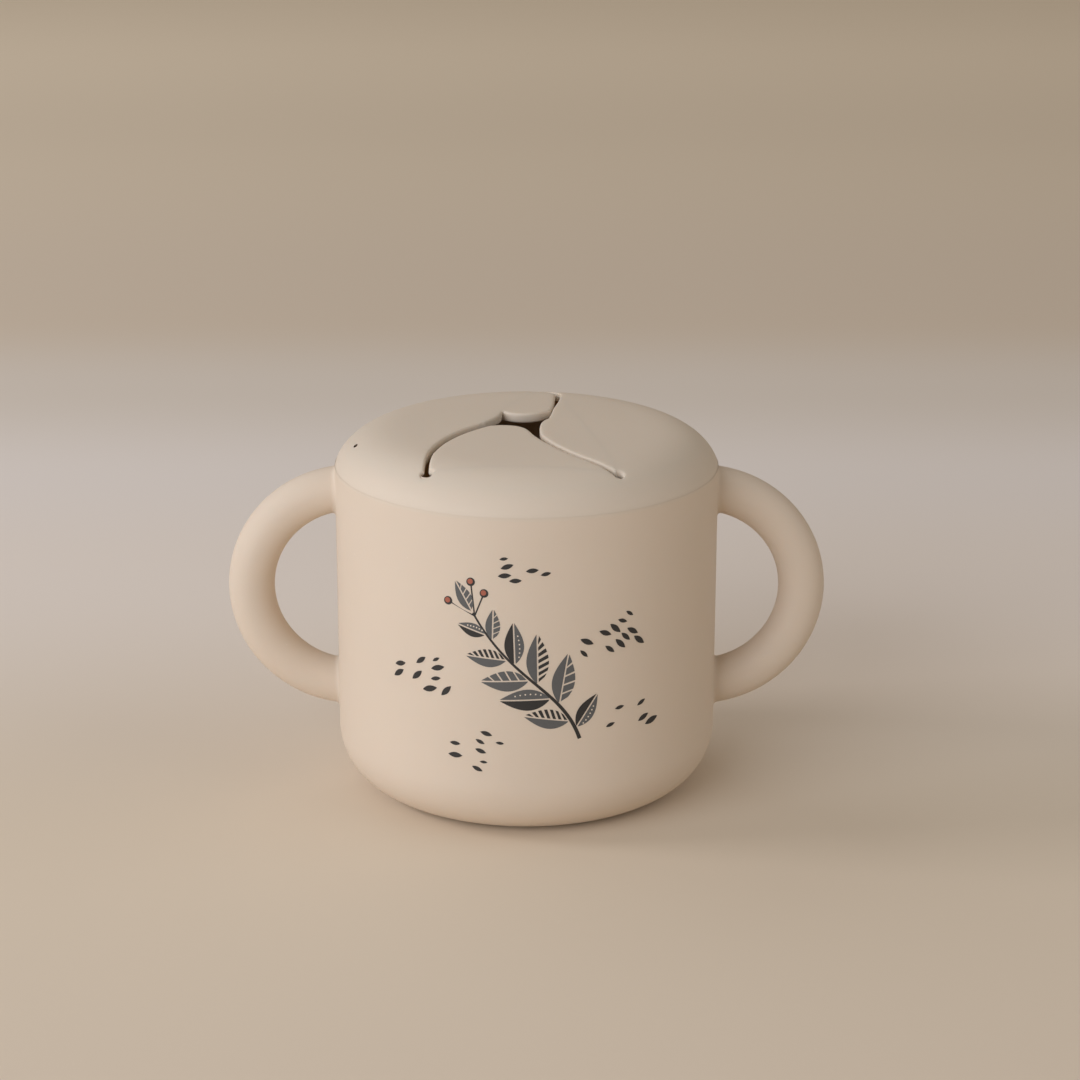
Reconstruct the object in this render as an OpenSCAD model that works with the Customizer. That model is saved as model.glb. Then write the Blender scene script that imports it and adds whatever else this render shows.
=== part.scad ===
// Toddler snack cup in moulded silicone: a round cup with two ring handles, and a
// push-in lid whose domed top is cut by three curved slits into three soft flaps.
// Frame: origin on the underside at the middle of the base, +Z up, handles along X,
// printed side of the cup towards -Y. Millimetres.

/* [Cup] */
// outside diameter of the straight cup wall
cup_d = 85.3; // [75:0.1:95]
// height of the rim that the lid sits on
rim_h = 73.7; // [60:0.1:80]
// thickness of the cup wall
cup_wall = 2.75; // [2:0.05:4]
// thickness of the floor
cup_floor = 3.4; // [2:0.1:6]
// rounding between wall and underside, outside
base_r = 13.5; // [4:0.1:20]
// rounding between wall and floor, inside
inner_base_r = 11; // [3:0.1:18]
// radius of the shallow recess in the underside
recess_r = 25; // [15:0.5:28]
// depth of the shallow recess in the underside
recess_depth = 0.7; // [0.2:0.05:1.5]
// rounding of the rim edges
rim_edge_r = 0.15; // [0.1:0.05:1]

/* [Handles] */
// radius of the handle's centre line
handle_r = 23; // [18:0.1:28]
// diameter of the round handle bar
handle_bar_d = 10.3; // [7:0.1:14]
// how far the centre of the handle ring lies inside the cup's outer face
handle_inset = 3.65; // [1:0.1:8]
// height of the middle of the handles
handle_z = 45.3; // [35:0.1:50]
// how much wider than the bar the flare is where it meets the wall, all round
root_flare = 0.8; // [0.4:0.1:2]
// length of the flare at the handle's roots
root_flare_l = 2; // [1.5:0.1:5]
// how far below the rim the upper flare is cut off, so that it stays clear of the lid
root_rim_gap = 0.2; // [0.1:0.05:1]

/* [Lid shell] */
// how far the lid's edge stands out past the cup wall
lid_overhang = 0.15; // [0:0.05:1]
// radius of the rounded shoulder
shoulder_r = 7.5; // [4:0.1:10]
// radius of the shallow dome of the top
dome_r = 416; // [250:1:900]
// thickness of the top
lid_t = 1.9; // [1.4:0.05:3]
// rounding of the lid's lower outer edge
lid_edge_r = 0.35; // [0.1:0.05:1]

/* [Lid plug] */
// thickness of the plug skirt that goes down inside the rim
skirt_t = 1.5; // [1:0.05:2.5]
// length of the plug skirt below the rim
skirt_h = 7.2; // [4:0.1:12]
// gap between the plug skirt and the cup wall
skirt_gap = 0.3; // [0.15:0.01:0.6]
// running clearance between the sealing rib and the cup wall
rib_clearance = 0.05; // [0.01:0.01:0.1]
// height of the sealing rib
rib_h = 1.4; // [0.8:0.1:2.5]
// depth of the sealing rib's middle below the rim
rib_drop = 4.2; // [2:0.1:8]
// diameter of the pin mark on the shoulder
pin_d = 0.9; // [0.5:0.05:1.5]
// depth of the pin mark
pin_depth = 1.2; // [0.5:0.1:2]
// how far out on the rounded shoulder the pin mark lies
pin_out = 3.1; // [1:0.1:5]
// direction of the pin mark, in degrees from +X
pin_angle = 193; // [0:1:360]

/* [Slits] */
// width of the left slit
left_slit_w = 1.5; // [0.6:0.1:2.5]
// radius of the left slit's centre line
left_slit_r = 39.8; // [34:0.1:60]
// where the left slit leaves the opening
left_start = [-4.61, 4.9];
// direction of the left slit's end hole, in degrees from +X
left_end_angle = -125.41; // [-140:0.1:-110]
// distance of the left end hole's middle from the inside of the plug skirt
left_end_inset = 1.46; // [1.3:0.02:6]
// width of the right slit
right_slit_w = 1; // [0.6:0.1:2.5]
// radius of the right slit's centre line
right_slit_r = 45.8; // [34:0.1:70]
// where the right slit leaves the opening
right_start = [2.57, -8.23];
// direction of the right slit's end hole, in degrees from +X
right_end_angle = -58.04; // [-70:0.1:-50]
// distance of the right end hole's middle from the inside of the plug skirt
right_end_inset = 1.69; // [1.3:0.02:6]
// width of the back slit
back_slit_w = 1.2; // [0.6:0.1:2.5]
// radius of the back slit's long part
back_slit_r = 125.3; // [90:0.1:160]
// where the back slit leaves the opening
back_start = [4.28, 5.67];
// direction of the point where the back slit turns into its hook, in degrees from +X
back_turn_angle = 75.38; // [70:0.1:85]
// distance of that point from the inside of the plug skirt
back_turn_inset = 9.64; // [7:0.1:14]
// radius of the hook at the end of the back slit
hook_r = 6; // [3:0.1:9]
// how far round the hook turns, in degrees
hook_turn = 80.5; // [60:0.5:110]
// diameter of the round holes that end the slits
slit_hole_d = 2.4; // [1.6:0.1:3]

/* [Flaps] */
// hairline gap along each fold line
fold_gap = 0.12; // [0.06:0.01:0.3]
// half angle of the groove under each fold line
fold_half_angle = 29; // [15:0.5:40]

/* [Display] */
// draw everything, or one named node

/* [Hidden] */
$fn = 72;
cup_r = cup_d / 2;
cup_in = cup_r - cup_wall;
lid_r = cup_r + lid_overhang;
skirt_out = cup_in - skirt_gap;
skirt_in = skirt_out - skirt_t;
rib_out = cup_in - rib_clearance;
// centre of the dome, so that the dome runs tangent into the shoulder
sh_x = lid_r - shoulder_r;
dome_c = rim_h - sqrt(pow(dome_r - shoulder_r, 2) - sh_x * sh_x);
blend_a = asin(sh_x / (dome_r - shoulder_r));
top_z = dome_c + dome_r;
far = 120;
// the middle of the top lies in the opening, so the turned profile starts at this radius
eye_r = 0.6;

silicone = [0.86, 0.78, 0.69];
silicone_lid = [0.83, 0.75, 0.66];

// ---------- helpers ----------
function polar(r, a) = r * [cos(a), sin(a)];
// height of the dome over a plan point
function dome_z(p) = dome_c + sqrt(dome_r * dome_r - p[0] * p[0] - p[1] * p[1]);
// arc of radius r from p to q, turning left: its centre, radius, start angle and sweep
function arc(p, q, r) =
    let (d = q - p, l = norm(d), c = (p + q) / 2 + sqrt(r * r - l * l / 4) / l * [-d[1], d[0]])
    [c, r, atan2(p[1] - c[1], p[0] - c[0]), 2 * asin(l / 2 / r)];
// point at the share f of an arc, moved out by o
function on_arc(a, f, o = 0) = a[0] + polar(a[1] + o, a[2] + f * a[3]);

// curved slot of constant width, as a plan outline of n steps along the arc
module arc_slot(a, w, n) {
    polygon(concat([for (i = [0:n]) on_arc(a, i / n, -w / 2)], [for (i = [n:-1:0]) on_arc(a, i / n, w / 2)]));
}

// ---------- slit plan ----------
left_end = polar(skirt_in - left_end_inset, left_end_angle);
right_end = polar(skirt_in - right_end_inset, right_end_angle);
back_turn = polar(skirt_in - back_turn_inset, back_turn_angle);
left_arc = arc(left_start, left_end, left_slit_r);
right_arc = arc(right_start, right_end, right_slit_r);
back_arc = arc(back_start, back_turn, back_slit_r);
// the hook runs on from the long part with the same tangent
hook_arc = [on_arc(back_arc, 1, -hook_r), hook_r, back_arc[2] + back_arc[3], hook_turn];
back_end = on_arc(hook_arc, 1);
// fold lines run between the slit ends and these points on the slits
left_mid = on_arc(left_arc, 0.216);
back_mid = on_arc(back_arc, 1.03);

// three-cornered opening where the slits meet
module opening2d() {
    difference() {
        polygon([[-6.6, 2], [-9.6, 1.2], [-8.9, 2.7], [-7.4, 5.2], [-6.1, 8.1], [-5.35, 10.6],
            [4.6, 12.6], [5.3, 10], [5, 7.6], [6.4, 6.2], [6.4, -10], [5.2, -14], [4.6, -14.2], [3, -11.9], [1.5, -9.2],
            [0.3, -5.2], [-0.5, -2.6], [-3.3, -1], [-3.3, 1]]);
        // rounded tips of the back, right and front flaps
        translate([-0.63, 13.15]) circle(r = 5.57, $fn = 72);
        translate([27.4, -4.5]) circle(r = 24.6, $fn = 144);
        translate([-3.3, -1.9]) circle(r = 3.1, $fn = 48);
    }
}

module slits2d() {
    arc_slot(left_arc, left_slit_w, 17);
    arc_slot(right_arc, right_slit_w, 12);
    arc_slot(back_arc, back_slit_w, 5);
    // the hook starts a little before the long part ends, so that the two overlap
    arc_slot([hook_arc[0], hook_r, hook_arc[2] - 1, hook_turn + 1], back_slit_w, 8);
    for (p = [left_end, right_end, back_end]) translate(p) circle(d = slit_hole_d, $fn = 12);
    opening2d();
}

// coarse plan outlines of the flaps; their shared sides run along the middle of the slits
module front_plan() {
    polygon(concat([left_end], [for (f = [0.872, 0.734, 0.596, 0.458, 0.32, 0.181, 0.06]) on_arc(left_arc, f)],
        [[-4, 4.5], [1.6, 1.5], [1.6, -5], [2.3, -8]],
        [for (f = [0.098, 0.209, 0.377, 0.545, 0.712, 0.88]) on_arc(right_arc, f)], [right_end]));
}

module right_plan() {
    polygon(concat([right_end], [for (f = [0.88, 0.712, 0.545, 0.377, 0.209, 0.098]) on_arc(right_arc, f)],
        [[2.3, -8], [1.6, -5], [1.6, 1.5], [3.5, 7], [4.9, 9.5]],
        [for (f = [0.356, 0.653, 0.901]) on_arc(back_arc, f)], [back_mid]));
}

module back_plan() {
    polygon(concat([left_mid, on_arc(left_arc, 0.13), on_arc(left_arc, 0.06)],
        [[-5.8, 5.2], [-1, 6], [4.4, 9]],
        [for (f = [0.356, 0.653, 0.901]) on_arc(back_arc, f)],
        [for (f = [0.031, 0.304, 0.578, 0.801]) on_arc(hook_arc, f)], [back_end]));
}

// coarse plan of the three flaps together
module core_plan() {
    polygon(concat([left_end], [for (f = [0.872, 0.734, 0.596, 0.458, 0.32]) on_arc(left_arc, f)], [left_mid, back_end],
        [for (f = [0.801, 0.578, 0.304, 0.081]) on_arc(hook_arc, f)], [back_mid, right_end]));
}

// plan strip along a fold line, from p to q
module fold_strip(p, q, w) {
    d = q - p;
    translate(p) rotate(atan2(d[1], d[0])) translate([0, -w / 2]) square([norm(d), w]);
}

module folds2d() {
    fold_strip(left_end, right_end, fold_gap);
    fold_strip(right_end, back_mid, fold_gap);
    fold_strip(back_end, left_mid, fold_gap);
}

// groove under a fold line: its edge lies on the straight line between the two surface points
module fold_groove(p, q) {
    pz = dome_z(p);
    qz = dome_z(q);
    d = [q[0] - p[0], q[1] - p[1], qz - pz];
    h = 5;
    translate([p[0], p[1], pz]) rotate([0, 0, atan2(d[1], d[0])]) rotate([0, -asin(d[2] / norm(d)), 0])
        rotate([90, 0, 90]) linear_extrude(height = norm(d))
            polygon([[0, 0], [-h * tan(fold_half_angle), -h], [h * tan(fold_half_angle), -h]]);
}

module grooves() {
    fold_groove(left_end, right_end);
    fold_groove(right_end, back_mid);
    fold_groove(left_mid, back_end);
}

// ---------- cup ----------
module cup_profile() {
    difference() {
        union() {
            translate([0, base_r]) square([cup_r, rim_h - base_r - rim_edge_r]);
            translate([0, rim_h - base_r]) square([cup_r - rim_edge_r, base_r]);
            square([cup_r - base_r, base_r + 1]);
            translate([cup_r - base_r, base_r]) intersection() {
                circle(r = base_r, $fn = 32);
                translate([0, -base_r]) square([base_r, base_r]);
            }
            translate([cup_r - rim_edge_r, rim_h - rim_edge_r]) intersection() {
                circle(r = rim_edge_r, $fn = 16);
                square(rim_edge_r);
            }
        }
        // inside
        translate([-1, cup_floor + inner_base_r]) square([cup_in + 1, far]);
        translate([-1, cup_floor]) square([cup_in - inner_base_r + 1, inner_base_r + 1]);
        translate([cup_in - inner_base_r, cup_floor + inner_base_r]) intersection() {
            circle(r = inner_base_r, $fn = 32);
            translate([0, -inner_base_r]) square([inner_base_r, inner_base_r]);
        }
        // lead-in chamfer for the plug
        polygon([[cup_in - 1, rim_h + 1], [cup_in - 1, rim_h - 1], [cup_in, rim_h - 0.6], [cup_in + 0.6, rim_h], [cup_in + 0.6, rim_h + 1]]);
        // shallow recess in the underside
        polygon([[-1, -1], [recess_r + recess_depth + 1, -1], [recess_r, recess_depth], [-1, recess_depth]]);
    }
}

module cup_body() {
    color(silicone) rotate_extrude($fn = 72) cup_profile();
}

// flared root of a handle, on the tangent of its centre line where that meets the wall
module handle_root() {
    a = acos(handle_inset / handle_r);
    in = 2;
    slope = (root_flare + 0.3) / root_flare_l;
    translate([handle_r * cos(a), handle_r * sin(a)]) rotate([0, 0, a - 90]) rotate([0, 90, 0]) translate([0, 0, -in])
        cylinder(r1 = handle_bar_d / 2 + root_flare + in * slope, r2 = handle_bar_d / 2 - 0.3, h = root_flare_l + in, $fn = 36);
}

module handle() {
    difference() {
        translate([cup_r - handle_inset, 0, handle_z]) rotate([90, 0, 0]) {
            rotate([0, 0, -87]) rotate_extrude(angle = 174, $fn = 72) translate([handle_r, 0]) circle(d = handle_bar_d, $fn = 20);
            handle_root();
            mirror([0, 1, 0]) handle_root();
        }
        cylinder(r = cup_r, h = far, $fn = 72);
        translate([0, -20, rim_h - root_rim_gap]) cube([far, 40, 20]);
    }
}

module right_handle() {
    color(silicone) handle();
}

module left_handle() {
    color(silicone) rotate([0, 0, 180]) handle();
}

// ---------- lid ----------
// area under the dome and shoulder
module dome_area() {
    bx = sin(blend_a);
    bz = cos(blend_a);
    intersection() {
        translate([0, dome_c]) circle(r = dome_r, $fn = 360);
        polygon([[eye_r, rim_h], [sh_x, rim_h], [sh_x + 20 * bx, rim_h + 20 * bz], [eye_r, rim_h + 20]]);
    }
    intersection() {
        translate([sh_x, rim_h]) circle(r = shoulder_r, $fn = 40);
        polygon([[sh_x, rim_h], [sh_x + 20, rim_h], [sh_x + 20, rim_h + 20], [sh_x + 20 * bx, rim_h + 20 * bz]]);
    }
}

// hollow under the top, out to the plug skirt: its roof is a plain dome
module hollow_area() {
    intersection() {
        translate([0, dome_c]) circle(r = dome_r - lid_t, $fn = 360);
        translate([-1, rim_h - 1]) square([skirt_in + 1, 30]);
    }
}

module lid_profile() {
    difference() {
        union() {
            difference() {
                dome_area();
                hollow_area();
            }
            translate([skirt_in, rim_h - skirt_h]) square([skirt_t, skirt_h + 2]);
            translate([skirt_out - 0.2, rim_h - rib_drop]) polygon([[0, -rib_h / 2 - 0.2], [rib_out - skirt_out + 0.2, -rib_h / 4], [rib_out - skirt_out + 0.2, rib_h / 4], [0, rib_h / 2 + 0.2]]);
        }
        // eased lower outer edge
        polygon([[lid_r - lid_edge_r, rim_h - 1], [lid_r - lid_edge_r, rim_h], [lid_r + 0.1, rim_h + lid_edge_r + 0.1], [lid_r + 1, rim_h - 1]]);
        // eased lower end of the skirt
        polygon([[skirt_out - 0.5, rim_h - skirt_h - 0.01], [skirt_out + 0.01, rim_h - skirt_h + 0.8], [skirt_out + 1, rim_h - skirt_h - 0.01]]);
    }
}

module lid_shell() {
    rotate_extrude($fn = 72) lid_profile();
}

// plan of everything that is cut out of the ring: slits, folds and the flaps themselves
module ring_cut2d() {
    slits2d();
    folds2d();
    core_plan();
}

module lid_ring() {
    color(silicone_lid) difference() {
        difference() {
            lid_shell();
            grooves();
            // pin mark on the shoulder
            rotate([0, 0, pin_angle]) translate([sh_x + pin_out, 0, rim_h + sqrt(shoulder_r * shoulder_r - pin_out * pin_out) - pin_depth])
                cylinder(d = pin_d, h = pin_depth + 2, $fn = 18);
        }
        translate([0, 0, rim_h - 1]) linear_extrude(height = 20) ring_cut2d();
    }
}

// thin top inside the skirt, from which the flaps are cut, with its turning seam in the direction given
module top_shell(seam) {
    rotate([0, 0, seam]) rotate_extrude($fn = 72) difference() {
        dome_area();
        hollow_area();
        translate([skirt_in - 0.4, rim_h - 1]) square([20, 30]);
    }
}

// a flap: its plan, less the slits and folds, cut from the top, and bevelled along its fold
module flap(p, q, seam) {
    difference() {
        intersection() {
            top_shell(seam);
            translate([0, 0, rim_h]) linear_extrude(height = 15) difference() {
                children();
                slits2d();
                folds2d();
            }
        }
        fold_groove(p, q);
    }
}

module front_flap() {
    color(silicone_lid) flap(left_end, right_end, 0) front_plan();
}

module right_flap() {
    color(silicone_lid) flap(right_end, back_mid, 180) right_plan();
}

module back_flap() {
    color(silicone_lid) flap(left_mid, back_end, 0) back_plan();
}

cup_body();
left_handle();
right_handle();
lid_ring();
front_flap();
right_flap();
back_flap();
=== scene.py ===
import math

import bmesh
import bpy
import numpy as np
from mathutils import Matrix, Vector
from mathutils.geometry import delaunay_2d_cdt


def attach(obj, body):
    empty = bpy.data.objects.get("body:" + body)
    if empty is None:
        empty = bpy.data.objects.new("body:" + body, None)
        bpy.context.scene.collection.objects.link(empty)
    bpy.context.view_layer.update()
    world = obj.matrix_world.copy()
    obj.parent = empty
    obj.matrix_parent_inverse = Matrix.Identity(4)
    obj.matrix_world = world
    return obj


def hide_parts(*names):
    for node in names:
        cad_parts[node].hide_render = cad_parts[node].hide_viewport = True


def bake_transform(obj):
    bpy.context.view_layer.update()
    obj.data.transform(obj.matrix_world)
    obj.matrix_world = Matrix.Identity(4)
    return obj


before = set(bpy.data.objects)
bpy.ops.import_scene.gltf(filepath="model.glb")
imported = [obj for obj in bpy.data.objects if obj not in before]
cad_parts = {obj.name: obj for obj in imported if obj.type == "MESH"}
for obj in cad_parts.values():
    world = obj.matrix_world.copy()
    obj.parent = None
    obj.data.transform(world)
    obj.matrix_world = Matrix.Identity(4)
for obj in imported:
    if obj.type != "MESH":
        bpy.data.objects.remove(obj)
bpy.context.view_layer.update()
MM = 0.001


# ---- Camera ----
# A long lens, 0.65 m away, square on to the printed side and looking down by about 18 degrees.
VIEW_DISTANCE = 0.65
VIEW_DOWN = 0.33428
VIEW_TURN = -0.004667
VIEW_LIFT = 0.0234
VIEW_AIM = Vector((0, 0, 0.040))
camera_data = bpy.data.cameras.new("camera")
camera_data.lens = 95.63
camera_data.sensor_width = 36.0
camera_data.clip_start = 0.01
camera_data.clip_end = 30.0
camera = bpy.data.objects.new("camera", camera_data)
bpy.context.scene.collection.objects.link(camera)
eye = VIEW_AIM - VIEW_DISTANCE * Vector((0, math.cos(VIEW_DOWN), -math.sin(VIEW_DOWN)))
camera.matrix_world = (
    Matrix.Translation(eye)
    @ Matrix.Rotation(math.pi / 2 - VIEW_DOWN, 4, "X")
    @ Matrix.Rotation(VIEW_TURN, 4, "Y")
    @ Matrix.Rotation(VIEW_LIFT, 4, "X")
)
bpy.context.scene.camera = camera
bpy.context.scene.view_settings.view_transform = "Standard"


# ---- Table top ----
# A plain painted studio surface: matte, pale beige near the cup and a little darker and warmer further
# back, with the faint mottle that a rolled paint film has. Its colour also carries painted light: it is
# paler in a band just behind the cup and far back, to make up for the lamps' falloff.
def linear(hex_colour):
    """An sRGB hex colour as linear RGBA."""
    channels = [int(hex_colour[i:i + 2], 16) / 255 for i in (1, 3, 5)]
    return [c / 12.92 if c <= 0.04045 else ((c + 0.055) / 1.055) ** 2.4 for c in channels] + [1.0]


def add(tree, kind, sockets=None, **settings):
    """Adds a node to a tree. sockets gives each input a value, or the output that feeds it."""
    made = tree.nodes.new(kind)
    for name, value in settings.items():
        setattr(made, name, value)
    for name, value in (sockets or {}).items():
        if isinstance(value, bpy.types.NodeSocket):
            tree.links.new(value, made.inputs[name])
        else:
            made.inputs[name].default_value = value
    return made


def new_material(name):
    material = bpy.data.materials.new(name)
    material.use_nodes = True
    material.node_tree.nodes.clear()
    return material, material.node_tree


def finish_material(tree, sockets):
    """Puts a Principled shader with these inputs on the material's output."""
    shader = add(tree, "ShaderNodeBsdfPrincipled", sockets)
    add(tree, "ShaderNodeOutputMaterial", {"Surface": shader.outputs["BSDF"]})


def remapped(tree, value, before, after=(0.0, 1.0)):
    """A value taken from one range to another."""
    return add(tree, "ShaderNodeMapRange", {
        "Value": value, "From Min": before[0], "From Max": before[1],
        "To Min": after[0], "To Max": after[1]}).outputs["Result"]


def noise(tree, place, scale, detail, roughness=0.5):
    return add(tree, "ShaderNodeTexNoise", {
        "Vector": place, "Scale": scale, "Detail": detail, "Roughness": roughness}).outputs["Fac"]


def bump(tree, texture, strength, distance):
    """The normal of a surface whose height follows a texture."""
    return add(tree, "ShaderNodeBump", {
        "Height": texture, "Strength": strength, "Distance": distance}).outputs["Normal"]


def new_object(name, mesh, *materials):
    """An object at the origin that shows a mesh whose place is in its vertices."""
    made = bpy.data.objects.new(name, mesh)
    bpy.context.scene.collection.objects.link(made)
    for material in materials:
        mesh.materials.append(material)
    return made


# the colours run from 0.3 m in front of the cup to 1.2 m behind it
TABLE_DEPTHS = (-0.3, 1.2)
# these stops carry painted light: the paler band behind the cup and the paler far back stand in for light
TABLE_STOPS_WITH_PAINTED_LIGHT = [(0.0, "#E0D0BD"), (0.17, "#E2D3BE"), (0.30, "#EBE1D7"), (0.36, "#EAE2DB"),
               (0.43, "#DFD5C9"), (0.50, "#D9CAB7"), (0.75, "#E2D3BD"), (1.0, "#F0E1CA")]
TABLE_REACH = 8.0
painted, tree = new_material("matte_painted_table")
place = add(tree, "ShaderNodeTexCoord").outputs["Object"]
depth = add(tree, "ShaderNodeSeparateXYZ", {0: place}).outputs["Y"]
ramp = add(tree, "ShaderNodeValToRGB", {"Fac": remapped(tree, depth, TABLE_DEPTHS)})
ramp.color_ramp.interpolation = "EASE"
while len(ramp.color_ramp.elements) < len(TABLE_STOPS_WITH_PAINTED_LIGHT):
    ramp.color_ramp.elements.new(0.5)
for element, (at, colour) in zip(ramp.color_ramp.elements, TABLE_STOPS_WITH_PAINTED_LIGHT):
    element.position = at
    element.color = linear(colour)
# the mottle of a rolled film is 1 to 2 mm across
mottle = noise(tree, place, 600.0, 3.0)
finish_material(tree, {
    "Base Color": ramp.outputs["Color"], "Roughness": 0.75, "Specular IOR Level": 0.25,
    "Normal": bump(tree, mottle, 0.04, 0.0003)})
table_mesh = bpy.data.meshes.new("table_top")
corners = [(x * TABLE_REACH, y * TABLE_REACH, 0) for x, y in ((-1, -1), (1, -1), (1, 1), (-1, 1))]
table_mesh.from_pydata(corners, [], [(0, 1, 2, 3)])
table = new_object("table_top", table_mesh, painted)


# ---- Light ----
# Daylight from a low window on the left and a broad soft box at the front left, with weak
# fill from the right and from behind, and the soft light of a pale room all round.
LAMP_DISTANCE = 1.6
LAMP_AIM = Vector((0, 0, 0.03))


def lamp(name, turn, height, size, power, colour):
    """A soft box at a turn round the object and a height above the table, both in degrees."""
    turn, height = math.radians(turn), math.radians(height)
    way = Vector((math.sin(turn) * math.cos(height), -math.cos(turn) * math.cos(height),
                  math.sin(height)))
    data = bpy.data.lights.new(name, "AREA")
    data.shape = "RECTANGLE"
    data.size, data.size_y = size
    data.energy = power
    data.color = linear(colour)[:3]
    made = bpy.data.objects.new(name, data)
    made.location = LAMP_AIM + LAMP_DISTANCE * way
    made.rotation_euler = (-way).to_track_quat("-Z", "Y").to_euler()
    bpy.context.scene.collection.objects.link(made)


lamp("window", -90, 30, (0.45, 0.45), 5.6, "#FAF7FC")
lamp("front_box", -38, 20, (1.3, 1.2), 16.0, "#EDF3FF")
lamp("right_fill", 75, 30, (1.4, 1.2), 3.9, "#F0F2F8")
lamp("back_fill", -135, 40, (1.4, 1.2), 4.0, "#F0F2F8")
world = bpy.data.worlds.new("room")
bpy.context.scene.world = world
world.use_nodes = True
world.node_tree.nodes.clear()
tree = world.node_tree
rays = add(tree, "ShaderNodeLightPath")
# the backdrop behind the table's far edge is only seen: it adds no light
seen = add(tree, "ShaderNodeMath", {0: rays.outputs["Is Camera Ray"], 1: rays.outputs["Is Glossy Ray"]},
           operation="MAXIMUM")
room = add(tree, "ShaderNodeBackground", {"Color": linear("#FFF1DF"), "Strength": 0.29})
back = add(tree, "ShaderNodeBackground", {"Color": linear("#877663"), "Strength": 1.0})
both = add(tree, "ShaderNodeMixShader", {0: seen.outputs[0], 1: room.outputs[0], 2: back.outputs[0]})
add(tree, "ShaderNodeOutputWorld", {"Surface": both.outputs[0]})


# ---- Cup moulding ----
# The cup and its two ring handles are one piece of food-grade silicone, moulded in a steel
# mould whose fine spark finish leaves a matte skin. It stands on the flat ring of its base.
CUP_R = 42.65
RIM_Z = 73.7
CUP_IN = 39.9
FLOOR_Z = 3.4
BASE_R = 13.5
INNER_BASE_R = 11.0
RECESS_R = 25.0
RECESS_Z = 0.7
RING_X = 39.0
RING_Z = 45.3
RING_R = 23.0
BAR_R = 5.15
ROOT_FILLET = 1.1
ROOT_TOP_Z = 73.45
# divisions of the mesh: round the cup, round and along a handle's bar, over a root's fillet,
# from the fillet to the wall's grid, and half the width of the cut in that grid
AROUND = 256
BAR_AROUND = 64
BAR_ALONG = 104
ROOT_STEPS = 6
PATCH_STEPS = 5
ROOT_COLUMNS = 8
SILICONE = "#DBCBB8"
# colour and strength of the painted glow inside the cup, which stands in for warm light through the wall
PAINTED_GLOW_COLOUR = "#B07D32"
INSIDE_PAINTED_GLOW = 0.018
SUNK = 0.12


def mixed(tree, share, a, b):
    return add(tree, "ShaderNodeMix", {"Factor": share, "A": a, "B": b}, data_type="RGBA").outputs["Result"]


def moulded_silicone(name, hex_colour, offset, through=0.0):
    """Matte moulded silicone: light sinks in a little and softens the edges, the spark-finish grain
    breaks up the gloss, and the colour drifts by a few per cent. A cavity can also get a painted glow,
    an emission that stands in for the warm light coming through its wall. Each moulding's offset gives
    it its own drift, specks and grain."""
    material, tree = new_material(name)
    here = add(tree, "ShaderNodeTexCoord").outputs["Object"]
    place = add(tree, "ShaderNodeMapping", {"Vector": here, "Location": offset}).outputs["Vector"]
    # drift over about 30 mm, as pigment is mixed
    drift = noise(tree, place, 32.0, 2.0)
    body = linear(hex_colour)[:3]
    pale = [min(1.0, c * 1.025) for c in body] + [1.0]
    deep = [c * 0.975 for c in body] + [1.0]
    tint = mixed(tree, drift, deep, pale)
    # lint specks of 0.1 to 0.2 mm, a few to the square centimetre
    specks = add(tree, "ShaderNodeTexVoronoi", {"Vector": place, "Scale": 210.0})
    lint = remapped(tree, specks.outputs["Distance"], (0.02, 0.035), (0.35, 0.0))
    # the real grain is 0.05 mm, drawn at 0.5 mm so that it shows
    grain = noise(tree, place, 2000.0, 2.0, 0.6)
    # beside the shut seam light passes on into the other piece, and isn't lost as at a free edge: so
    # none sinks in within 0.8 mm of it, and the full share does from 4 mm on
    height = add(tree, "ShaderNodeSeparateXYZ", {0: here}).outputs["Z"]
    from_seam = add(tree, "ShaderNodeMath", {0: height, 1: RIM_Z * MM}, operation="SUBTRACT").outputs[0]
    from_seam = add(tree, "ShaderNodeMath", {0: from_seam}, operation="ABSOLUTE").outputs[0]
    # the emission is a painted glow, not a lamp
    finish_material(tree, {
        "Base Color": mixed(tree, lint, tint, linear("#F1E8DC")), "IOR": 1.41,
        "Roughness": remapped(tree, grain, (0.0, 1.0), (0.52, 0.64)),
        "Specular IOR Level": 0.35, "Subsurface Radius": (0.0040, 0.0026, 0.0018), "Subsurface Scale": 1.0,
        "Subsurface Weight": remapped(tree, from_seam, (0.8 * MM, 4.0 * MM), (0.0, SUNK)),
        "Emission Color": linear(PAINTED_GLOW_COLOUR), "Emission Strength": through,
        "Normal": bump(tree, grain, 0.10, 0.0001)})
    return material


def arc_points(centre_r, centre_z, radius, start, stop, steps):
    """Points (r, z) along an arc of a turned profile, angles in degrees."""
    turns = [math.radians(start + (stop - start) * i / steps) for i in range(steps + 1)]
    return [(centre_r + radius * math.cos(t), centre_z + radius * math.sin(t)) for t in turns]


def finish_mesh(name, verts, faces, sharp=38.0):
    """A mesh in metres from points in millimetres: doubles merged, faces outward, no face twice, and
    shaded smooth except across edges that turn by more degrees than sharp."""
    bm = bmesh.new()
    made = [bm.verts.new(v) for v in verts]
    for face in faces:
        try:
            bm.faces.new([made[i] for i in face])
        except ValueError:
            pass
    bmesh.ops.remove_doubles(bm, verts=bm.verts, dist=1e-5)
    bmesh.ops.delete(bm, geom=[v for v in bm.verts if not v.link_faces], context="VERTS")
    bmesh.ops.recalc_face_normals(bm, faces=bm.faces)
    for face in bm.faces:
        face.smooth = True
    for edge in bm.edges:
        edge.smooth = len(edge.link_faces) == 2 and edge.calc_face_angle(0) < math.radians(sharp)
    bmesh.ops.scale(bm, vec=(MM, MM, MM), verts=bm.verts)
    mesh = bpy.data.meshes.new(name)
    bm.to_mesh(mesh)
    bm.free()
    return mesh


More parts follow.
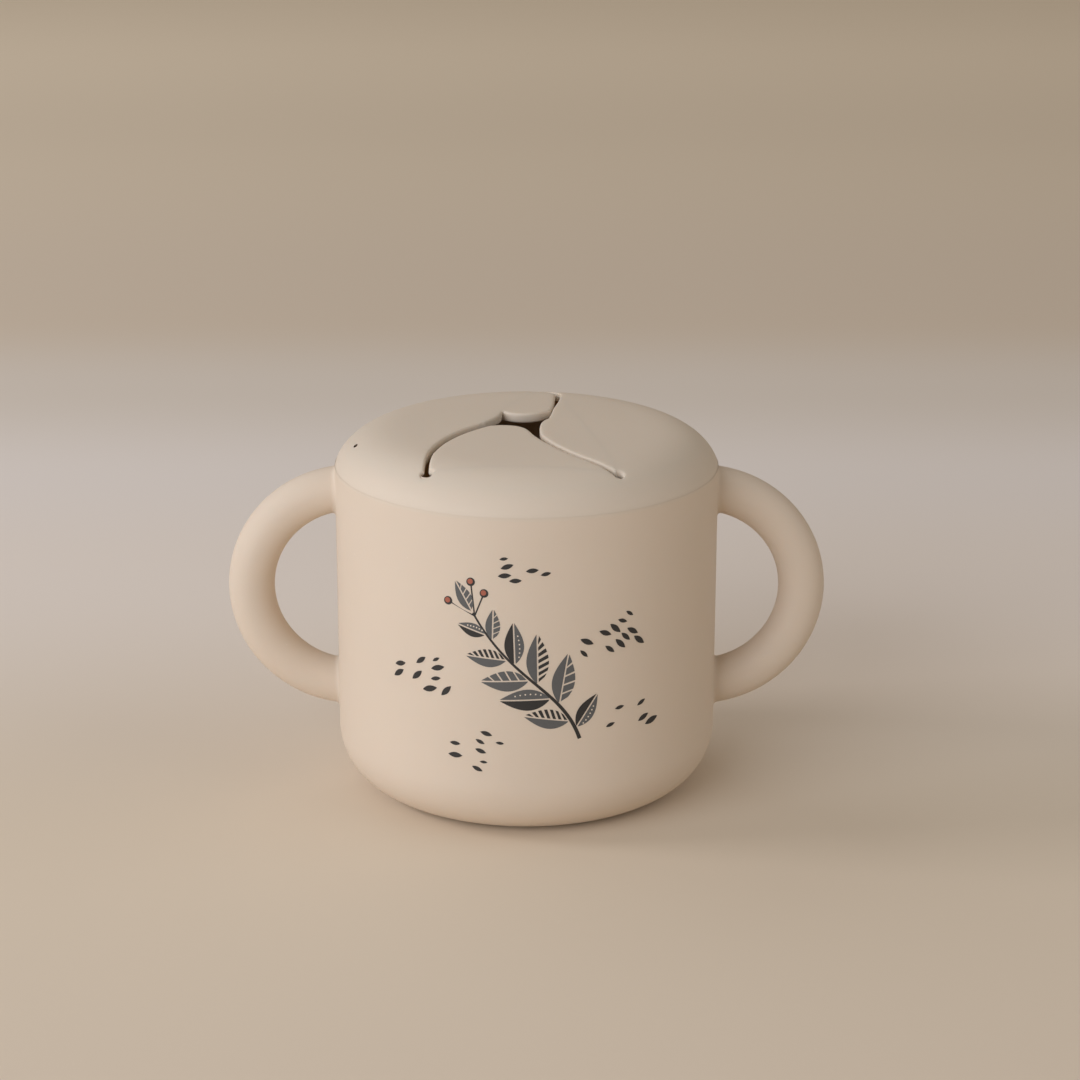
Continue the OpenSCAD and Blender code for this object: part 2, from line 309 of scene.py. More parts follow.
def ring_points(r, z):
    turns = [2 * math.pi * i / AROUND for i in range(AROUND)]
    return [(r * math.cos(t), r * math.sin(t), z) for t in turns]


def band(one, two):
    """The faces between two rings of numbered points."""
    return list(zip(one, one[1:] + one[:1], two[1:] + two[:1], two))


# the turned profile runs from the middle of the floor up the inside, over the rim with its eased
# inner edge, and down the wall to the middle of the underside
inside = [(r, FLOOR_Z) for r in (3, 9, 16, 23)]
inside += arc_points(CUP_IN - INNER_BASE_R, FLOOR_Z + INNER_BASE_R, INNER_BASE_R, -90, 0, 14)
inside += [(CUP_IN, z) for z in (22, 32, 42, 52, 60, 66, 70, RIM_Z - 0.6)]
rim = [(CUP_IN + 0.5, RIM_Z - 0.1), (CUP_IN + 0.65, RIM_Z), (CUP_R - 0.6, RIM_Z), (CUP_R, RIM_Z)]
# heights between which the wall makes room for the handles' upper roots, and for the lower ones
ROOT_HEIGHTS = (73.55, 60.75, 29.6, 15.6)
rows_each = 2 * ROOT_COLUMNS
wall = [(CUP_R, z) for start, stop in zip(ROOT_HEIGHTS, ROOT_HEIGHTS[1:])
        for z in np.linspace(start, stop, rows_each + 1)[:-1]] + [(CUP_R, ROOT_HEIGHTS[-1])]
under = arc_points(CUP_R - BASE_R, BASE_R, BASE_R, 0, -90, 26)
under += [(RECESS_R + RECESS_Z, 0), (RECESS_R, RECESS_Z), (17, RECESS_Z), (9, RECESS_Z), (3, RECESS_Z)]
profile = inside + rim + wall + under
upper_row = len(inside) + len(rim)
lower_row = upper_row + 2 * rows_each

verts = [p for r, z in profile for p in ring_points(r, z)]
faces = []


def at(row, column):
    return row * AROUND + column % AROUND


def in_root(row, column):
    """Is this cell of the wall's grid one whose place a handle's root takes?"""
    side = (column + ROOT_COLUMNS) % (AROUND // 2)
    return side < 2 * ROOT_COLUMNS and any(0 <= row - r < rows_each for r in (upper_row, lower_row))


for row in range(len(profile) - 1):
    for column in range(AROUND):
        if not in_root(row, column):
            faces.append((at(row, column), at(row, column + 1),
                          at(row + 1, column + 1), at(row + 1, column)))
for row, z in ((0, FLOOR_Z), (len(profile) - 1, RECESS_Z)):
    verts.append((0, 0, z))
    faces += [(len(verts) - 1, at(row, c), at(row, c + 1)) for c in range(AROUND)]


def bar_point(theta, phi):
    """A point on a handle's round bar: theta goes round the ring, phi round the bar."""
    reach = RING_R + BAR_R * math.sin(phi)
    return np.array([RING_X + reach * math.cos(theta), BAR_R * math.cos(phi),
                     RING_Z + reach * math.sin(theta)])


def root_line(phi, up):
    """Where the plain bar ends, as theta, and the points from there over the fillet to the wall."""
    reach = RING_R + BAR_R * math.sin(phi)
    meets = math.acos((math.sqrt(CUP_R ** 2 - (BAR_R * math.cos(phi)) ** 2) - RING_X) / reach)
    ends_at = meets - ROOT_FILLET / reach
    start = bar_point(up * ends_at, phi)
    corner = bar_point(up * meets, phi)
    turn = math.atan2(corner[1], corner[0]) + ROOT_FILLET * math.cos(phi) / CUP_R
    height = min(corner[2] + up * ROOT_FILLET * math.sin(phi), ROOT_TOP_Z)
    end = np.array([CUP_R * math.cos(turn), CUP_R * math.sin(turn), height])
    return ends_at, [(1 - t) ** 2 * start + 2 * t * (1 - t) * corner + t * t * end
                     for t in np.linspace(0, 1, ROOT_STEPS + 1)[1:]]


def root_border(row, up):
    """Grid places round the cut in the wall, in the order that phi goes round the bar."""
    half = ROOT_COLUMNS
    steps = range(-half, half)
    path = [(half, k) for k in steps] + [(-k, half) for k in steps]
    path += [(-half, -k) for k in steps] + [(k, -half) for k in steps]
    return [(row + half - up * v, u) for u, v in path[half:] + path[:half]]


phis = [2 * math.pi * k / BAR_AROUND for k in range(BAR_AROUND)]
roots = {up: [root_line(phi, up) for phi in phis] for up in (1, -1)}
lines = []
for phi, (low_end, low_root), (high_end, high_root) in zip(phis, roots[-1], roots[1]):
    bar = [bar_point(-low_end + (high_end + low_end) * j / BAR_ALONG, phi) for j in range(BAR_ALONG + 1)]
    lines.append(low_root[::-1] + bar + high_root)
for half_turn in (0, 1):
    flip = -1 if half_turn else 1
    rings = []
    for ring in zip(*lines):
        rings.append(list(range(len(verts), len(verts) + BAR_AROUND)))
        verts += [(flip * p[0], flip * p[1], p[2]) for p in ring]
    for one, two in zip(rings, rings[1:]):
        faces += band(one, two)
    # the wall between each root and the grid round it stays on the cylinder
    for up, row, root_ring in ((1, upper_row, rings[-1]), (-1, lower_row, rings[0])):
        border = [at(r, c + half_turn * AROUND // 2) for r, c in root_border(row, up)]
        inner = root_ring
        for t in [step / PATCH_STEPS for step in range(1, PATCH_STEPS)]:
            outer = list(range(len(verts), len(verts) + BAR_AROUND))
            for a, b in [(verts[i], verts[j]) for i, j in zip(root_ring, border)]:
                turn_a = math.atan2(flip * a[1], flip * a[0])
                turn_b = math.atan2(flip * b[1], flip * b[0])
                turn = turn_a + (turn_b - turn_a) * t
                verts.append((flip * CUP_R * math.cos(turn), flip * CUP_R * math.sin(turn),
                              a[2] + (b[2] - a[2]) * t))
            faces += band(inner, outer)
            inner = outer
        faces += band(inner, border)

cup_silicone = moulded_silicone("matte_moulded_silicone_cup", SILICONE, (0.0, 0.0, 0.0))
# the inside carries a painted glow for the warm light that comes through the wall
painted_glow_inside = moulded_silicone("matte_moulded_silicone_cup_inside_painted_glow", SILICONE, (0.0, 0.0, 0.0), INSIDE_PAINTED_GLOW)
cup = new_object("cup_moulding", finish_mesh("cup_moulding", verts, faces), cup_silicone, painted_glow_inside)
# the floor and the inner wall take the second material, the one with the painted glow
for face in cup.data.polygons:
    if face.center.xy.length < (CUP_IN + 0.3) * MM and face.center.z > 0.9 * FLOOR_Z * MM:
        face.material_index = 1
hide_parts("cup_body", "left_handle", "right_handle")
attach(cup, "cup")


# ---- Lid ring ----
# The outer part of the push-in silicone lid: dome, rounded shoulder, and the plug skirt with
# its sealing rib that goes down inside the rim. Three punched slits with round ends free its flaps.
LID_R = 42.66
# the shoulder's curve: its width and height, how late it starts to fall, and how steep it ends
SHOULDER_WIDTH = 16.0
SHOULDER_HEIGHT = 7.8
SHOULDER_ONSET = 2.8
SHOULDER_FLANK = 1.6
CROWN = 1.5
# the underside is part of a large ball: its radius, and its height in the middle
UNDER_R = 414.1
UNDER_Z = 80.828
SKIRT_IN = 38.1
SKIRT_OUT = 39.6
SKIRT_Z = RIM_Z - 7.2
RIB_R = 39.85
RIB_Z = RIM_Z - 4.2
# out to this radius the top is one flat plan, laid on the dome, and from there on it is turned
TOP_PLAN_R = 39.6
# rounding of the slits' edges, and what the left, right and back end holes add to it
TOP_LIPS = (0.5, (0.35, 0.35, 0.35))
UNDER_LIPS = (0.5, (0.35, -0.45, 0.35))
# the pin mark is a small oval: its radius from the axis and its direction in degrees, half its
# width along that radius and across it, its depth, and the corners that draw it
PIN_AT = (38.15, 189.05)
PIN_HALF = (0.45, 0.85)
PIN_DEPTH = 0.45
PIN_CORNERS = 20
# radii of the slits' arcs, and of the round holes at their ends
SLIT_RADII = {"left": 39.8, "right": 45.8, "back": 125.3}
HOOK_R = 6.0
HOOK_TURN = 80.5
END_HOLE_R = 1.2
RIGHT_HOLE_R = 0.95
RIGHT_HOLE_SHIFT = (0.3, 0.2)
# widths of the slits. The left one narrows to its end hole, and opens towards the opening
LEFT_WIDTH = 1.3
LEFT_NARROWING = 0.4
LEFT_OPENING = 1.9
LEFT_OPENING_END = 0.75
RIGHT_WIDTH = 1.0
BACK_WIDTH = 1.2
BACK_NARROWING = 0.95


def polar(r, degrees):
    """A plan point at a radius and a direction."""
    return np.array([r * math.cos(math.radians(degrees)), r * math.sin(math.radians(degrees))])


def left_turning_arc(start, stop, radius):
    """Centre, radius, first angle and sweep of an arc from start to stop."""
    start, stop = np.array(start, float), np.array(stop, float)
    way = stop - start
    length = np.hypot(*way)
    side = np.array([-way[1], way[0]])
    centre = (start + stop) / 2 + math.sqrt(radius ** 2 - length ** 2 / 4) / length * side
    return (centre, radius, math.degrees(math.atan2(*(start - centre)[::-1])),
            2 * math.degrees(math.asin(length / 2 / radius)))


def on_arc(arc, share, out=0.0):
    """The point at a share of an arc's sweep, moved out from its centre."""
    return arc[0] + polar(arc[1] + out, arc[2] + share * arc[3])


def slot_outline(arc, width, steps, lead=0.0):
    """Outline of a slot along an arc. Its width is a number or a function of the share."""
    shares = np.linspace(-lead, 1, steps + 1)
    half = [(width(s) if callable(width) else width) / 2 for s in shares]
    return ([on_arc(arc, s, -h) for s, h in zip(shares, half)]
            + [on_arc(arc, s, h) for s, h in list(zip(shares, half))[::-1]])


def circle_outline(centre, radius, steps):
    return [np.array(centre) + polar(radius, 360 * i / steps) for i in range(steps)]


def smooth_run(points, steps=8):
    """A smooth line through the points of one side of the opening."""
    p = [np.array(q, float) for q in [points[0]] + points + [points[-1]]]
    made = []
    for a, b, c, d in zip(p, p[1:], p[2:], p[3:]):
        for t in np.linspace(0, 1, steps, endpoint=False):
            made.append(0.5 * (2 * b + (c - a) * t + (2 * a - 5 * b + 4 * c - d) * t ** 2
                               + (3 * b - a - 3 * c + d) * t ** 3))
    return made + [p[-1]]


left_end, right_end = polar(SKIRT_IN - 1.46, -125.41), polar(SKIRT_IN - 1.69, -58.04)
back_turn = polar(SKIRT_IN - 9.64, 75.38)
left_slit = left_turning_arc((-4.61, 4.9), left_end, SLIT_RADII["left"])
right_slit = left_turning_arc((2.57, -8.23), right_end, SLIT_RADII["right"])
back_slit = left_turning_arc((4.28, 5.67), back_turn, SLIT_RADII["back"])
hook = (on_arc(back_slit, 1, -HOOK_R), HOOK_R, back_slit[2] + back_slit[3], HOOK_TURN)
back_end = on_arc(hook, 1)
left_mid, back_mid = on_arc(left_slit, 0.216), on_arc(back_slit, 1.03)
FOLDS = {"front": (left_end, right_end), "right": (right_end, back_mid), "back": (left_mid, back_end)}
# sides of the opening: the right flap's, the front flap's, and the corners that close it
RIGHT_TIP = [(5, 7.6), (4.95, 5.7), (3.85, 3.7), (3.15, 1.2),
             (2.88, -2.1), (2.95, -5.2), (3.25, -8.3), (3.85, -11.3)]
FRONT_TIP = [(5.7, -15.7), (4.9, -14.9), (4.0, -13.5), (2.95, -11.3), (1.75, -8.5),
             (0.95, -6.0), (0.2, -3.9), (-0.7, -2.4), (-1.9, -1.3), (-3.3, -0.65),
             (-4.8, -0.35), (-6.2, -0.3), (-7.6, -0.7)]
OPENING = ([(-9.6, 1.2), (-8.9, 2.7), (-7.4, 5.2), (-6.1, 8.1), (-5.35, 11.4), (5.5, 12.7), (5.2, 10)]
           + smooth_run(RIGHT_TIP) + smooth_run(FRONT_TIP))


def left_width(share):
    """The left slit narrows a little over the last 0.6 of its length."""
    return LEFT_WIDTH - LEFT_NARROWING * max(0.0, (share - 0.4) / 0.6) ** 1.5


def left_flap_side(share):
    """From the middle of the left slit to the front flap's edge, near the opening."""
    return LEFT_WIDTH / 2 + LEFT_OPENING * (1 - share / LEFT_OPENING_END) ** 1.2


def back_width(share):
    """The back slit nearly closes between the opening and its hooked end."""
    return BACK_WIDTH - BACK_NARROWING * math.exp(-((share - 0.43) / 0.28) ** 2)


punched = [slot_outline(left_slit, left_width, 130), slot_outline(right_slit, RIGHT_WIDTH, 96),
           slot_outline(back_slit, back_width, 74), slot_outline(hook, BACK_WIDTH, 30, lead=0.02)]
shares = np.linspace(0.02, LEFT_OPENING_END, 61)
punched.append([on_arc(left_slit, s, -0.3) for s in shares]
               + [on_arc(left_slit, s, -left_flap_side(s)) for s in shares[::-1]])
punched += [circle_outline(left_end, END_HOLE_R, 28),
            circle_outline(right_end + np.array(RIGHT_HOLE_SHIFT), RIGHT_HOLE_R, 28),
            circle_outline(back_end, END_HOLE_R, 28)]
# the back flap's round tip runs straight on from 42 degrees below its middle to the back slit
TIP_MIDDLE = np.array([-0.63, 14.3])
TIP_R = 5.57
flap_tips = [circle_outline(TIP_MIDDLE, TIP_R, 120),
             [TIP_MIDDLE, TIP_MIDDLE + polar(TIP_R, -42), np.array([5.38, 12.6])]]


def counterclockwise(polygon):
    """The corners of a polygon, turned round if they run clockwise."""
    twice_area = sum(a[0] * b[1] - a[1] * b[0] for a, b in zip(polygon, polygon[1:] + polygon[:1]))
    return polygon[::-1] if twice_area < 0 else polygon


# points closer than this are joined: in outlines, and in the lid's plan
WELD = 1e-5
PLAN_WELD = 1e-6


def cut_outline(cutters, opening, keepers, lines):
    """One closed outline round all that is cut away: the cutters, and the opening less the keepers.
    Each line adds a corner where it crosses the outline."""
    polygons = cutters + [[np.array(p) for p in opening]] + keepers
    points, shapes = [], []
    for polygon in polygons:
        polygon = counterclockwise(polygon)
        shapes.append(list(range(len(points), len(points) + len(polygon))))
        points += [Vector(p) for p in polygon]
    edges = []
    for a, b in lines:
        edges.append((len(points), len(points) + 1))
        points += [Vector(a), Vector(b)]
    out, _, triangles, _, _, sources = delaunay_2d_cdt(points, edges, shapes, 0, WELD)
    # cut away is what a cutter covers, and what nothing but the opening covers
    cut = len(cutters)
    sides = set()
    for triangle, source in zip(triangles, sources):
        if source and (min(source) < cut or max(source) == cut):
            corners = list(triangle)
            sides.update(zip(corners, corners[1:] + corners[:1]))
    after = {a: b for a, b in sides if (b, a) not in sides}
    loops = []
    while after:
        start = next(iter(after))
        loop = [start]
        while loop[-1] in after:
            loop.append(after.pop(loop[-1]))
        loops.append([np.array(out[i]) for i in loop[:-1]])
    return max(loops, key=len)


outline = cut_outline(punched, OPENING, flap_tips, FOLDS.values())


def crossings(loop, a, b):
    """Places in the loop of the first and the last corner that lie on the line from a to b."""
    length = np.hypot(*(b - a))
    way = (b - a) / length
    found = []
    for i, p in enumerate(loop):
        along, off = (p - a) @ way, abs((p - a) @ np.array([-way[1], way[0]]))
        if off < 2e-4 and -0.01 < along < length + 0.01:
            found.append((along, i))
    return min(found)[1], max(found)[1]


ends = {name: crossings(outline, *line) for name, line in FOLDS.items()}
kept_corners = {i for pair in ends.values() for i in pair}
# corners that crowd together are dropped, but for the folds' ends, and long sides are divided
CROWDED = 0.05
LONGEST_SIDE = 0.35
spaced, kept = [], {}
for i, p in enumerate(outline):
    crowded = bool(spaced) and np.hypot(*(p - spaced[-1])) < CROWDED
    if i in kept_corners:
        if crowded and len(spaced) - 1 not in kept.values():
            spaced.pop()
        kept[i] = len(spaced)
    if i in kept_corners or not crowded:
        spaced.append(p)
loop, places = [], {}
for i, p in enumerate(spaced):
    places[i] = len(loop)
    following = spaced[(i + 1) % len(spaced)]
    pieces = max(1, math.ceil(np.hypot(*(following - p)) / LONGEST_SIDE))
    loop += [p + (following - p) * k / pieces for k in range(pieces)]
loop = np.array(loop)
ends = {name: tuple(places[kept[i]] for i in pair) for name, pair in ends.items()}


def stretch(first, last):
    """Outline places from first round to last, in the loop's order."""
    count = (last - first) % len(loop)
    return [(first + k) % len(loop) for k in range(count + 1)]


def in_polygon(points, polygon):
    inside = np.zeros(len(points), bool)
    x, y = points[:, 0], points[:, 1]
    for (x0, y0), (x1, y1) in zip(polygon, np.roll(polygon, -1, axis=0)):
        if y0 != y1:
            hit = ((y0 > y) != (y1 > y)) & (x < (x1 - x0) * (y - y0) / (y1 - y0) + x0)
            inside ^= hit
    return inside


def reach_to_outline(points, batch=2000):
    """Distance of each point from the cut outline."""
    way = np.roll(loop, -1, axis=0) - loop
    squared = (way ** 2).sum(1)
    best = np.empty(len(points))
    for start in range(0, len(points), batch):
        off = points[start:start + batch, None] - loop
        t = np.clip((off * way).sum(2) / squared, 0, 1)
        best[start:start + batch] = np.sqrt(((off - t[..., None] * way) ** 2).sum(2).min(1))
    return best


# a flap's border is the shorter stretch of the outline between its fold's ends. The front flap's
# is the one that holds neither end of another fold.
others = {i for name in ("right", "back") for i in ends[name]}
borders = {}
for name, (a, b) in ends.items():
    ways_round = [stretch(a, b), stretch(b, a)]
    if name == "front":
        ways_round = [way_round for way_round in ways_round if not others & set(way_round)]
    borders[name] = min(ways_round, key=len)
# points along the folds, about 0.7 mm apart
FOLD_SPACING = 0.7
fold_all, fold_edges = [], []
for a, b in ends.values():
    steps = math.ceil(np.hypot(*(loop[b] - loop[a])) / FOLD_SPACING)
    mids = [loop[a] + (loop[b] - loop[a]) * k / steps for k in range(1, steps)]
    ids = [len(loop) + len(fold_all) + k for k in range(len(mids))]
    fold_edges += list(zip([a] + ids, ids + [b]))
    fold_all += mids
fold_all = np.array(fold_all)


def reach_to_folds(points):
    """Distance of each point from the nearest point of the folds."""
    return np.min(np.hypot(*(points[:, None] - fold_all).transpose(2, 0, 1)), axis=1)


def rounding_at(points, lips):
    """Radius of the rounded edge beside each point. It changes over 2.2 mm or so."""
    radius = np.full(len(points), lips[0])
    for end, extra in zip((left_end, right_end, back_end), lips[1]):
        radius += extra * np.exp(-(np.hypot(*(points - end).T) / 2.2) ** 2)
    return radius


def closed(first, count):
    """The sides of a closed outline of numbered points."""
    return [(first + i, first + (i + 1) % count) for i in range(count)]


def plan_mesh(outer_r, lips, spacing, rings, holes=()):
    """Triangles over the lid's plan out to outer_r, less what is cut away, with rows of points
    beside its rounded edge and rings of them where the dome bends. Gives the points, the triangles
    and their middles, each point's distance from the cut, where each fixed point is among the
    points, and the number of the first fixed point on the outer ring."""
    fixed = [*loop, *fold_all]
    rim_first = len(fixed)
    fixed += [p[:2] for p in ring_points(outer_r, 0)]
    edges = closed(0, len(loop)) + fold_edges + closed(rim_first, AROUND)
    for hole in holes:
        edges += closed(len(fixed), len(hole))
        fixed += hole
    # rows beside the outline, at even turns of the quarter round
    way = np.roll(loop, -1, axis=0) - np.roll(loop, 1, axis=0)
    normal = np.stack([way[:, 1], -way[:, 0]], 1) / np.hypot(*way.T)[:, None]
    free = []
    for turn in (30, 60, 90):
        off = rounding_at(loop, lips) * (1 - math.cos(math.radians(turn)))
        row = loop + normal * off[:, None]
        free.append(row[reach_to_outline(row) > 0.97 * off])
    # an even triangular grid for the rest, and the rings
    pitch = spacing * math.sqrt(3) / 2
    count = int(outer_r / pitch) + 1
    grid = np.array([((i + 0.5 * (j % 2)) * spacing, j * pitch)
                     for j in range(-count, count + 1) for i in range(-count, count + 1)])
    grid = grid[np.hypot(*grid.T) < min(rings) - 0.6 * spacing]
    rows = np.concatenate([[p[:2] for p in ring_points(r, 0)] for r in rings])
    grid = np.concatenate([grid, rows[np.hypot(*rows.T) < outer_r - 0.05]])
    grid = grid[reach_to_outline(grid) > rounding_at(grid, lips) + 0.3]
    free.append(grid[reach_to_folds(grid) > 0.45])
    # nothing that crowds the outer ring, a fold or a hole
    free = np.concatenate(free)
    free = free[np.hypot(*free.T) < outer_r - 0.03]
    free = free[reach_to_folds(free) > 0.06]
    for hole in holes:
        middle = np.mean(hole, axis=0)
        free = free[np.hypot(*(free - middle).T) > PIN_HALF[1] + 0.35]
    points = [Vector(p) for p in (*fixed, *free)]
    out, _, triangles, sources, _, _ = delaunay_2d_cdt(points, edges, [], 0, PLAN_WELD)
    out = np.array([tuple(p) for p in out])
    triangles = np.array(triangles)
    middles = out[triangles].mean(1)
    keep = ~in_polygon(middles, loop)
    place_of = {s: i for i, found in enumerate(sources) for s in found}
    away = reach_to_outline(out)
    away[[place_of[i] for i in range(len(loop))]] = 0.0
    return out, triangles[keep], middles[keep], away, place_of, rim_first


def top_height(r):
    """Height of the lid's outer surface: a low crown and a shoulder that falls ever more steeply."""
    r = np.asarray(r, float)
    out = np.clip((r - LID_R + SHOULDER_WIDTH) / SHOULDER_WIDTH, 0, 1)
    shoulder = SHOULDER_HEIGHT * (1 - out ** SHOULDER_ONSET) ** (1 / SHOULDER_FLANK)
    return RIM_Z + shoulder + CROWN * (1 - np.minimum(r / LID_R, 1) ** 2)


def under_height(r):
    return UNDER_Z - UNDER_R + np.sqrt(UNDER_R ** 2 - r ** 2)


def ease(points, away, lips):
    """How far the rounded edge has dropped at points, from their distances from the cut."""
    radius = rounding_at(points, lips)
    return radius - np.sqrt(np.maximum(radius ** 2 - (radius - np.minimum(away, radius)) ** 2, 0))


# the pin mark's outline, along and across its own radius
pin_ways = np.array([polar(1, PIN_AT[1]), polar(1, PIN_AT[1] + 90)])
pin = [polar(*PIN_AT) + (corner * PIN_HALF) @ pin_ways for corner in circle_outline((0, 0), 1, PIN_CORNERS)]
SHOULDER_RINGS = (27.2, 29.2, 31.0, 32.6, 33.9, 35.0, 36.0, 36.8, 37.5, 38.1, 38.65, 39.15)
top = plan_mesh(TOP_PLAN_R, TOP_LIPS, 1.3, SHOULDER_RINGS, [pin])
under = plan_mesh(SKIRT_IN, UNDER_LIPS, 1.9, (37.0,))
top_z = top_height(np.hypot(*top[0].T)) - ease(top[0], top[3], TOP_LIPS)
under_z = under_height(np.hypot(*under[0].T)) + ease(under[0], under[3], UNDER_LIPS)
flap_polygons = {name: loop[border] for name, border in borders.items()}


def region_of(middles):
    """Name of the piece that each triangle belongs to."""
    names = np.full(len(middles), "ring", dtype=object)
    for name, polygon in flap_polygons.items():
        names[in_polygon(middles, polygon)] = name
    return names


top_region, under_region = region_of(top[2]), region_of(under[2])


def sheet_piece(name):
    """Points and faces of one piece of the lid's sheet: top, underside and cut walls. Also gives how
    many points come before the underside's."""
    upper = top[1][top_region == name]
    lower = under[1][under_region == name]
    points = [(x, y, z) for (x, y), z in zip(top[0], top_z)]
    shift = len(points)
    points += [(x, y, z) for (x, y), z in zip(under[0], under_z)]
    made = [tuple(t) for t in upper] + [tuple(t[::-1] + shift) for t in lower]
    input_of = {top[4][i]: i for i in range(len(loop) + len(fold_all))}
    sides = dict.fromkeys(side for t in upper for side in zip(t, (*t[1:], t[0])))
    for a, b in sides:
        if (b, a) not in sides and a in input_of and b in input_of:
            i, j = input_of[a], input_of[b]
            made.append((b, a, under[4][i] + shift, under[4][j] + shift))
    return points, made, shift


points, made, shift = sheet_piece("ring")
# the pin mark: a blind hole with a flat floor, in place of the triangles over it
pin_floor = float(top_height(PIN_AT[0])) - PIN_DEPTH
pin_rim = [top[4][top[5] + AROUND + k] for k in range(PIN_CORNERS)]
over_pin = set(pin_rim)
made = [face for face in made if not over_pin.issuperset(face)]
pin_foot = list(range(len(points), len(points) + PIN_CORNERS))
points += [(*points[i][:2], pin_floor) for i in pin_rim]
made += band(pin_rim, pin_foot) + [tuple(pin_foot)]
# shoulder, lower edge, plug skirt with its rib, and up the inside again, turned
turned = []
first_turn = math.asin(((TOP_PLAN_R - LID_R + SHOULDER_WIDTH) / SHOULDER_WIDTH) ** (SHOULDER_ONSET / 2))
for turn in np.linspace(first_turn, math.radians(85), 15)[1:]:
    r = LID_R - SHOULDER_WIDTH + SHOULDER_WIDTH * math.sin(turn) ** (2 / SHOULDER_ONSET)
    turned.append((r, float(top_height(r))))
turned += [(LID_R, RIM_Z + 0.6), (CUP_R, RIM_Z), (41.0, RIM_Z), (SKIRT_OUT + 0.25, RIM_Z),
           (SKIRT_OUT + 0.07, RIM_Z - 0.07), (SKIRT_OUT, RIM_Z - 0.25),
           (SKIRT_OUT, RIB_Z + 0.8), (SKIRT_OUT + 0.08, RIB_Z + 0.55), (RIB_R - 0.04, RIB_Z + 0.25),
           (RIB_R, RIB_Z), (RIB_R - 0.04, RIB_Z - 0.25), (SKIRT_OUT + 0.08, RIB_Z - 0.55),
           (SKIRT_OUT, RIB_Z - 0.8), (SKIRT_OUT, SKIRT_Z + 0.9), (SKIRT_OUT - 0.35, SKIRT_Z + 0.15),
           (SKIRT_OUT - 0.6, SKIRT_Z), (SKIRT_IN + 0.25, SKIRT_Z), (SKIRT_IN, SKIRT_Z + 0.25)]
turned += [(SKIRT_IN, z) for z in (69.5, 72.5, 75.5, 77.6)]
rings = [[top[4][top[5] + i] for i in range(AROUND)]]
for r, z in turned:
    rings.append(list(range(len(points), len(points) + AROUND)))
    points += ring_points(r, z)
rings.append([under[4][under[5] + i] + shift for i in range(AROUND)])
for one, two in zip(rings, rings[1:]):
    made += band(one, two)
LID_OFFSET = (0.3, 0.1, 0.2)
lid_silicone = moulded_silicone("matte_moulded_silicone_lid", "#DACCBA", LID_OFFSET)
# the pin pit's dark brown is painted shade for its hollow
pin_pit_painted_shade = moulded_silicone("matte_moulded_silicone_pin_pit_painted_shade", "#5A4A3B", LID_OFFSET)
ring_mesh = finish_mesh("lid_ring_sheet", points, made)
ring = new_object("lid_ring_sheet", ring_mesh, lid_silicone, pin_pit_painted_shade)
# painted shade: the wall and floor of the pin mark take the dark brown
for face in ring_mesh.polygons:
    from_pin = np.hypot(*(pin_ways @ (np.array(face.center.xy) / MM - polar(*PIN_AT)) / PIN_HALF))
    if from_pin < 0.99 and face.center.z > (pin_floor - 0.02) * MM:
        face.material_index = 1
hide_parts("lid_ring")
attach(ring, "lid")


# ---- Flaps ----
# Three tongues of the same sheet, freed by the slits, built here level with the ring. In use each
# bends down over its fold line to let a small hand in, and springs back.
for name in borders:
    points, made, _ = sheet_piece(name)
    flap = new_object(name + "_flap_sheet", finish_mesh(name + "_flap_sheet", points, made), lid_silicone)
    a, b = (loop[i] for i in ends[name])
    middle = (a + b) / 2
    across = np.array([-(b - a)[1], (b - a)[0]]) / np.hypot(*(b - a))
    if (flap_polygons[name].mean(0) - middle) @ across < 0:
        across = -across
    z = float(top_height(np.hypot(*middle)))
    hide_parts(name + "_flap")
    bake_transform(flap)


# ---- Print ----
# A generic sprig with berries and loose leaves, screen-printed on the front in silicone ink and
# cured onto the wall: a matte film a few hundredths of a millimetre thick.
# The film's top and foot stand this far out from the wall, and a second ink lies on the first.
INK_TOP = 0.03
INK_FOOT = -0.03
SECOND_INK = 0.02
STEM = [(11.5, 24.5), (7.5, 36.5), (-3.0, 38.0), (-11.5, 53.0)]
STEM_STEPS = 41
# each leaf: share along the stem, lean from it in degrees, length, width and kind
LEAVES = [
    (0.07, -58, 8.5, 3.8, "solid"), (0.13, 52, 10.0, 4.4, "striped"), (0.27, -50, 11.5, 5.0, "veined"),
    (0.34, 48, 11.0, 4.8, "solid"), (0.47, -47, 11.5, 4.8, "striped"), (0.53, 45, 10.5, 4.6, "veined"),
    (0.66, -44, 9.5, 4.2, "solid"), (0.71, 42, 9.0, 4.0, "striped"), (0.84, -40, 7.0, 3.2, "veined"),
    (0.88, 36, 6.5, 3.0, "solid"), (1.0, 0, 7.5, 3.2, "veined")]
# each berry: share along the stem, lean of its stalk, length of the stalk
BERRIES = [(0.985, -52, 5.6), (0.985, -24, 7.6), (0.985, 34, 6.6)]


def silicone_ink(name, hex_colour):
    """Cured silicone ink: matte, a little denser and darker where the screen left more of it."""
    material, tree = new_material(name)
    place = add(tree, "ShaderNodeTexCoord").outputs["Object"]
    # mesh marks of a 77-thread screen are 0.13 mm apart, drawn at 0.4 mm
    film = noise(tree, place, 2500.0, 2.0)
    ink = linear(hex_colour)
    thin = [min(1.0, c * 1.12 + 0.004) for c in ink[:3]] + [1.0]
    finish_material(tree, {
        "Base Color": mixed(tree, film, ink, thin), "Roughness": 0.55, "IOR": 1.43,
        "Specular IOR Level": 0.35, "Normal": bump(tree, film, 0.08, 0.0001)})
    return material


